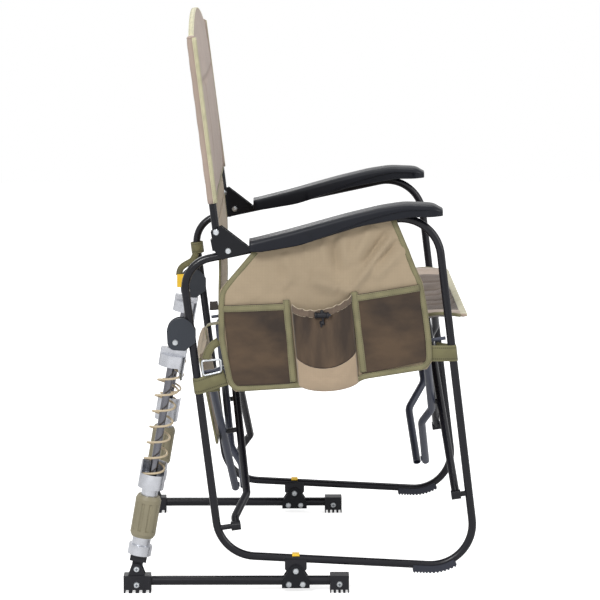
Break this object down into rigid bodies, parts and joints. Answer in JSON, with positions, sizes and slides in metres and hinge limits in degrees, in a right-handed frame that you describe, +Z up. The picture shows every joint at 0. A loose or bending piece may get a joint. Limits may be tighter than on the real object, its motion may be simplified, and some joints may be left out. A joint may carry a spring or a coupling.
{
  "type": "folding rocking chair",
  "caption": "Folding camp rocking chair with sprung base rails, slung padded seat and back, armrests and side pockets.",
  "frame": {"origin": "centre of the bounding box's base, on the floor", "axes": "+X to the front of the chair, +Y to the occupant's left, +Z up"},
  "size_m": [0.5959, 0.642, 0.9698],
  "materials": {
    "black_metal": "gloss paint",
    "slate_metal": "satin paint",
    "black_plastic": "moulded",
    "slate_plastic": "fine grain",
    "sleeve_plastic": "moulded",
    "yellow_plastic": "moulded",
    "silver_metal": "satin",
    "bright_zinc": "zinc plated",
    "beige_spring": "painted",
    "tan_fabric": "ripstop weave",
    "brown_fabric": "plain weave and mesh",
    "olive_webbing": "webbing"
  },
  "bodies": {
    "right_base": {"right_base_rail": "black_metal", "right_rail_feet": "black_plastic", "right_pivot_bracket": "black_metal", "right_base_rivets": "bright_zinc"},
    "right_side_frame": {"right_side_loop": "black_metal", "right_armrest": "slate_plastic", "right_back_bracket": "black_metal", "right_shock_bracket": "black_metal", "right_pivot_saddle": "black_metal", "right_pivot_pad": "yellow_plastic", "right_floor_glide": "black_plastic", "right_leg_stubs": "black_metal", "right_frame_rivets": "bright_zinc", "pocket_panel": "tan_fabric", "rear_pocket": "brown_fabric", "front_pocket": "brown_fabric", "cup_pocket": "brown_fabric", "frame_straps": "olive_webbing", "cord_lock": "black_plastic", "back_lower_panel": "tan_fabric", "back_flap": "tan_fabric"},
    "lock_button": {"cord_lock_button": "slate_plastic"},
    "right_shock_lower": {"right_shock_yoke": "black_plastic", "right_shock_tube": "silver_metal", "right_shock_sleeve": "sleeve_plastic", "right_shock_spring": "beige_spring"},
    "right_shock_upper": {"right_shock_cup": "silver_metal", "right_shock_rod": "silver_metal"},
    "right_legs": {"right_rear_leg": "black_metal", "right_front_leg": "black_metal"},
    "right_seat_frame": {"right_seat_rail": "slate_metal", "seat_sling": "brown_fabric", "seat_cushion": "tan_fabric"},
    "right_back": {"right_back_post": "black_metal", "back_panel": "tan_fabric"},
    "left_side_frame": {"left_side_loop": "black_metal", "left_armrest": "slate_plastic", "left_back_bracket": "black_metal", "left_shock_bracket": "black_metal", "left_pivot_saddle": "black_metal", "left_pivot_pad": "yellow_plastic", "left_floor_glide": "black_plastic", "left_leg_stubs": "black_metal", "left_frame_rivets": "bright_zinc", "carry_strap": "olive_webbing", "strap_tag": "yellow_plastic"},
    "left_base": {"left_base_rail": "black_metal", "left_rail_feet": "black_plastic", "left_pivot_bracket": "black_metal", "left_base_rivets": "bright_zinc"},
    "left_shock_lower": {"left_shock_yoke": "black_plastic", "left_shock_tube": "silver_metal", "left_shock_sleeve": "sleeve_plastic", "left_shock_spring": "beige_spring"},
    "left_shock_upper": {"left_shock_cup": "silver_metal", "left_shock_rod": "silver_metal"},
    "left_legs": {"left_rear_leg": "black_metal", "left_front_leg": "black_metal"},
    "left_seat_frame": {"left_seat_rail": "slate_metal"},
    "left_back": {"left_back_post": "black_metal"}
  },
  "joints": [
    {"name": "rock", "type": "hinge", "parent": "right_base", "child": "right_side_frame", "pos_m": [-0.00697, -0.29, 0.037], "axis": [0, 1, 0], "range_deg": [-10, 6.5], "stiffness_Nm_per_rad": 900},
    {"name": "side_fold", "type": "slide", "parent": "right_side_frame", "child": "left_side_frame", "axis": [0, -1, 0], "range_m": [0, 0.38], "deforming": ["seat_sling", "seat_cushion", "back_panel", "back_lower_panel", "back_flap"]},
    {"name": "left_rock", "type": "hinge", "parent": "left_side_frame", "child": "left_base", "pos_m": [-0.00697, 0.29, 0.037], "axis": [0, 1, 0], "range_deg": [-6.7, 10.2]},
    {"name": "right_shock_swing", "type": "hinge", "parent": "right_base", "child": "right_shock_lower", "pos_m": [-0.27597, -0.29, 0.041], "axis": [0, 1, 0], "range_deg": [-9.3, 6.12]},
    {"name": "left_shock_swing", "type": "hinge", "parent": "left_base", "child": "left_shock_lower", "pos_m": [-0.27597, 0.29, 0.041], "axis": [0, 1, 0], "range_deg": [-9.3, 6.12]},
    {"name": "right_shock_slide", "type": "slide", "parent": "right_shock_lower", "child": "right_shock_upper", "axis": [0.1726, 0, 0.985], "range_m": [-0.04666, 0.03051], "deforming": ["right_shock_spring"]},
    {"name": "left_shock_slide", "type": "slide", "parent": "left_shock_lower", "child": "left_shock_upper", "axis": [0.1726, 0, 0.985], "range_m": [-0.04666, 0.03051], "deforming": ["left_shock_spring"]},
    {"name": "right_knuckle", "type": "hinge", "parent": "right_side_frame", "child": "right_legs", "pos_m": [-0.10797, -0.29, 0.114], "axis": [0.9899, 0, 0.1414], "range_deg": [-0.5, 33.09]},
    {"name": "right_crossing", "type": "hinge", "parent": "right_legs", "child": "right_seat_frame", "pos_m": [-0.12692, -0.145, 0.24665], "axis": [0.9899, 0, 0.1414], "range_deg": [-65.68, 0.5]},
    {"name": "left_knuckle", "type": "hinge", "parent": "left_side_frame", "child": "left_legs", "pos_m": [-0.10797, 0.29, 0.114], "axis": [0.9899, 0, 0.1414], "range_deg": [-33.09, 0.5]},
    {"name": "left_crossing", "type": "hinge", "parent": "left_legs", "child": "left_seat_frame", "pos_m": [-0.12692, 0.145, 0.24665], "axis": [0.9899, 0, 0.1414], "range_deg": [-0.5, 65.68]},
    {"name": "back_fold", "type": "hinge", "parent": "right_side_frame", "child": "right_back", "pos_m": [-0.13897, -0.29, 0.614], "axis": [0, 1, 0], "range_deg": [0, 84]},
    {"name": "left_back_fold", "type": "hinge", "parent": "left_side_frame", "child": "left_back", "pos_m": [-0.13897, 0.29, 0.614], "axis": [0, 1, 0], "range_deg": [-0.5, 84.5]},
    {"name": "lock_press", "type": "slide", "parent": "right_side_frame", "child": "lock_button", "axis": [-1, 0, 0], "range_m": [0, 0.0025], "stiffness_N_per_m": 20}
  ],
  "couplings": [
    {"joint": "left_rock", "follows": "rock", "ratio": -1},
    {"joint": "right_shock_swing", "follows": "rock", "ratio": 0.91},
    {"joint": "left_shock_swing", "follows": "rock", "ratio": 0.91},
    {"joint": "right_shock_slide", "follows": "rock", "m_per_rad": 0.2645},
    {"joint": "left_shock_slide", "follows": "rock", "m_per_rad": 0.2645},
    {"joint": "right_knuckle", "follows": "side_fold", "rad_per_m": 1.4968},
    {"joint": "right_crossing", "follows": "side_fold", "rad_per_m": -2.9935},
    {"joint": "left_knuckle", "follows": "side_fold", "rad_per_m": -1.4968},
    {"joint": "left_crossing", "follows": "side_fold", "rad_per_m": 2.9935},
    {"joint": "left_back_fold", "follows": "back_fold", "ratio": 1}
  ]
}
